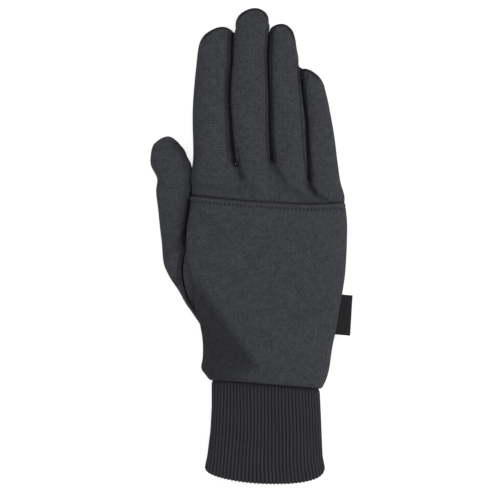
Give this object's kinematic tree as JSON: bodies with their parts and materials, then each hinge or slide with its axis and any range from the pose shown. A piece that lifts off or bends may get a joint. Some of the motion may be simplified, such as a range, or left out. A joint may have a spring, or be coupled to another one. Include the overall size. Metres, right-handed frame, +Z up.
{
  "type": "glove liner",
  "caption": "Stretch fleece glove liner for the right hand, lying palm down, with a warmer pocket on its back, finger gussets, a ribbed knit cuff and a bare side tab.",
  "frame": {"origin": "on the flat underside of the palm where the glove rests, on the hand's middle line", "axes": "+Y runs from the wrist to the fingertips, +X towards the little finger's side, +Z up out of the back of the hand"},
  "size_m": [0.1136, 0.2671, 0.0236],
  "materials": {
    "fleece": "matte charcoal stretch fleece with a short smooth nap",
    "rib_knit": "matte black ribbed knit",
    "tape": "smooth black woven tape"
  },
  "bodies": {
    "root": {"back_panel": "fleece", "palm_panel": "fleece", "fourchette_index_middle": "fleece", "fourchette_middle_ring": "fleece", "fourchette_ring_little": "fleece", "thumb": "fleece", "heat_pocket": "fleece", "cuff": "rib_knit", "label": "tape"}
  },
  "joints": []
}
